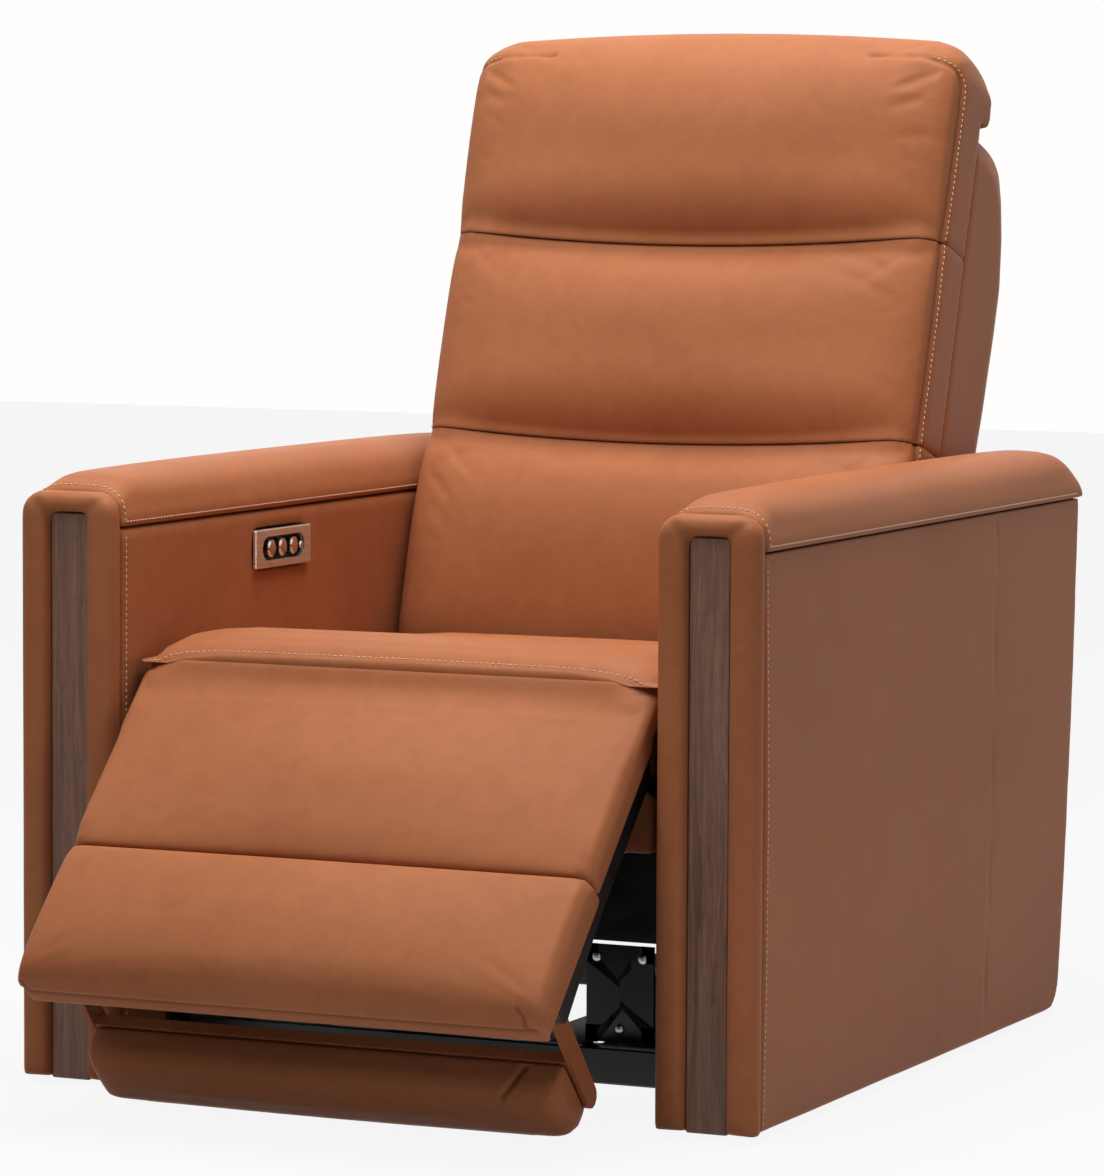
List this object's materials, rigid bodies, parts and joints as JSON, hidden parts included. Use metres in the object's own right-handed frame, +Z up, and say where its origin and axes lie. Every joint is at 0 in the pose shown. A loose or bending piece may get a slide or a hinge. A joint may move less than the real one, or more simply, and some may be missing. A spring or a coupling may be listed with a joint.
{
  "type": "power recliner",
  "caption": "Leather power recliner with wide padded arms, split back cushion, tilting head section and a footrest whose lower flap folds out, shown half open.",
  "frame": {"origin": "on the floor, under the middle of the chair's width and of its length, half open", "axes": "+Z up, the chair faces -Y, and its left arm in the picture is at -X"},
  "size_m": [0.831, 1.273, 1.108],
  "materials": {
    "leather": "smooth caramel semi-aniline, satin",
    "oak": "dark stained, vertical grain, satin",
    "wood": "bare plywood, matt",
    "black_steel": "black powder coat",
    "dark_plastic": "moulded, matt",
    "bronze": "brushed bronze",
    "chrome": "polished"
  },
  "bodies": {
    "chair_frame": {"arm_frame_left": "wood", "arm_outer_panel_left": "leather", "arm_inner_panel_left": "leather", "arm_front_border_left": "leather", "arm_top_pad_left": "leather", "arm_front_inlay_left": "oak", "base_rail_left": "black_steel", "glide_front_left": "dark_plastic", "glide_rear_left": "dark_plastic", "arm_frame_right": "wood", "arm_outer_panel_right": "leather", "arm_inner_panel_right": "leather", "arm_front_border_right": "leather", "arm_top_pad_right": "leather", "arm_front_inlay_right": "oak", "base_rail_right": "black_steel", "glide_front_right": "dark_plastic", "glide_rear_right": "dark_plastic", "base_cross_tube_front": "black_steel", "base_cross_tube_rear": "black_steel", "power_supply": "dark_plastic", "switch_plate": "bronze", "switch_housing": "dark_plastic"},
    "seat": {"seat_side_plate_left": "black_steel", "seat_rail_left": "wood", "seat_spring_left": "black_steel", "seat_side_plate_right": "black_steel", "seat_rail_right": "wood", "seat_spring_right": "black_steel", "seat_front_rail": "leather", "seat_rear_rail": "wood", "seat_cushion": "leather", "lift_motor": "dark_plastic", "recline_drive": "dark_plastic"},
    "lift_crank": {"torque_tube": "black_steel"},
    "lift_links": {"lift_link_left": "black_steel", "lift_link_right": "black_steel"},
    "lift_carriage": {"lift_carriage": "black_steel"},
    "footrest": {"footrest_bracket_left": "black_steel", "footrest_bracket_right": "black_steel", "footrest_upper_pad": "leather", "footrest_lower_pad": "leather", "footrest_board": "wood"},
    "flipper": {"flipper_board": "wood", "flipper_pad": "leather"},
    "back": {"back_post_left": "wood", "back_post_right": "wood", "back_rail": "wood", "back_shell": "leather", "lumbar_cushion": "leather", "middle_cushion": "leather", "head_drive": "dark_plastic"},
    "headrest": {"head_board": "wood", "head_cushion": "leather"},
    "recline_rod": {"recline_rod": "chrome"},
    "head_rod": {"head_rod": "chrome"},
    "button_front": {"button_front": "chrome"},
    "button_middle": {"button_middle": "chrome"},
    "button_rear": {"button_rear": "chrome"},
    "button_small": {"button_small": "chrome"}
  },
  "joints": [
    {"name": "back_recline", "type": "hinge", "parent": "seat", "child": "back", "pos_m": [0, 0.32979, 0.34327], "axis": [-1, 0, 0], "range_deg": [0, 35]},
    {"name": "seat_glide", "type": "slide", "parent": "chair_frame", "child": "seat", "axis": [0, -1, 0], "range_m": [0, 0.1]},
    {"name": "headrest_tilt", "type": "hinge", "parent": "back", "child": "headrest", "pos_m": [0, 0.40751, 0.87372], "axis": [1, 0, 0], "range_deg": [0, 30]},
    {"name": "footrest_lift", "type": "hinge", "parent": "seat", "child": "footrest", "pos_m": [0, -0.356, 0.4236], "axis": [-1, 0, 0], "range_deg": [-45, 45]},
    {"name": "flipper_fold", "type": "hinge", "parent": "footrest", "child": "flipper", "pos_m": [0, -0.55116, 0.14571], "axis": [-1, 0, 0], "range_deg": [-90, 90]},
    {"name": "crank_turn", "type": "hinge", "parent": "seat", "child": "lift_crank", "pos_m": [0, -0.0634, 0.3], "axis": [-1, 0, 0], "range_deg": [-45, 45]},
    {"name": "link_swing", "type": "hinge", "parent": "lift_crank", "child": "lift_links", "pos_m": [0, -0.0634, 0.23], "axis": [-1, 0, 0], "range_deg": [-45, 45]},
    {"name": "carriage_slide", "type": "slide", "parent": "seat", "child": "lift_carriage", "axis": [0, -1, 0], "range_m": [-0.05, 0.05]},
    {"name": "recline_rod_slide", "type": "slide", "parent": "seat", "child": "recline_rod", "axis": [0, -1, 0], "range_m": [0, 0.062]},
    {"name": "head_rod_slide", "type": "slide", "parent": "back", "child": "head_rod", "axis": [0, 0.309, 0.9511], "range_m": [0, 0.072]},
    {"name": "press_front", "type": "slide", "parent": "chair_frame", "child": "button_front", "axis": [-1, 0, 0], "range_m": [0, 0.0015], "stiffness_N_per_m": 500},
    {"name": "press_middle", "type": "slide", "parent": "chair_frame", "child": "button_middle", "axis": [-1, 0, 0], "range_m": [0, 0.0015], "stiffness_N_per_m": 500},
    {"name": "press_rear", "type": "slide", "parent": "chair_frame", "child": "button_rear", "axis": [-1, 0, 0], "range_m": [0, 0.0015], "stiffness_N_per_m": 500},
    {"name": "press_small", "type": "slide", "parent": "chair_frame", "child": "button_small", "axis": [-1, 0, 0], "range_m": [0, 0.0015], "stiffness_N_per_m": 500}
  ],
  "couplings": [
    {"joint": "seat_glide", "follows": "back_recline", "m_per_rad": 0.16},
    {"joint": "recline_rod_slide", "follows": "back_recline", "m_per_rad": 0.098},
    {"joint": "head_rod_slide", "follows": "headrest_tilt", "m_per_rad": 0.135},
    {"joint": "flipper_fold", "follows": "footrest_lift", "ratio": 2},
    {"joint": "crank_turn", "follows": "footrest_lift", "ratio": 1},
    {"joint": "link_swing", "follows": "footrest_lift", "ratio": -1},
    {"joint": "carriage_slide", "follows": "footrest_lift", "m_per_rad": 0.063}
  ]
}
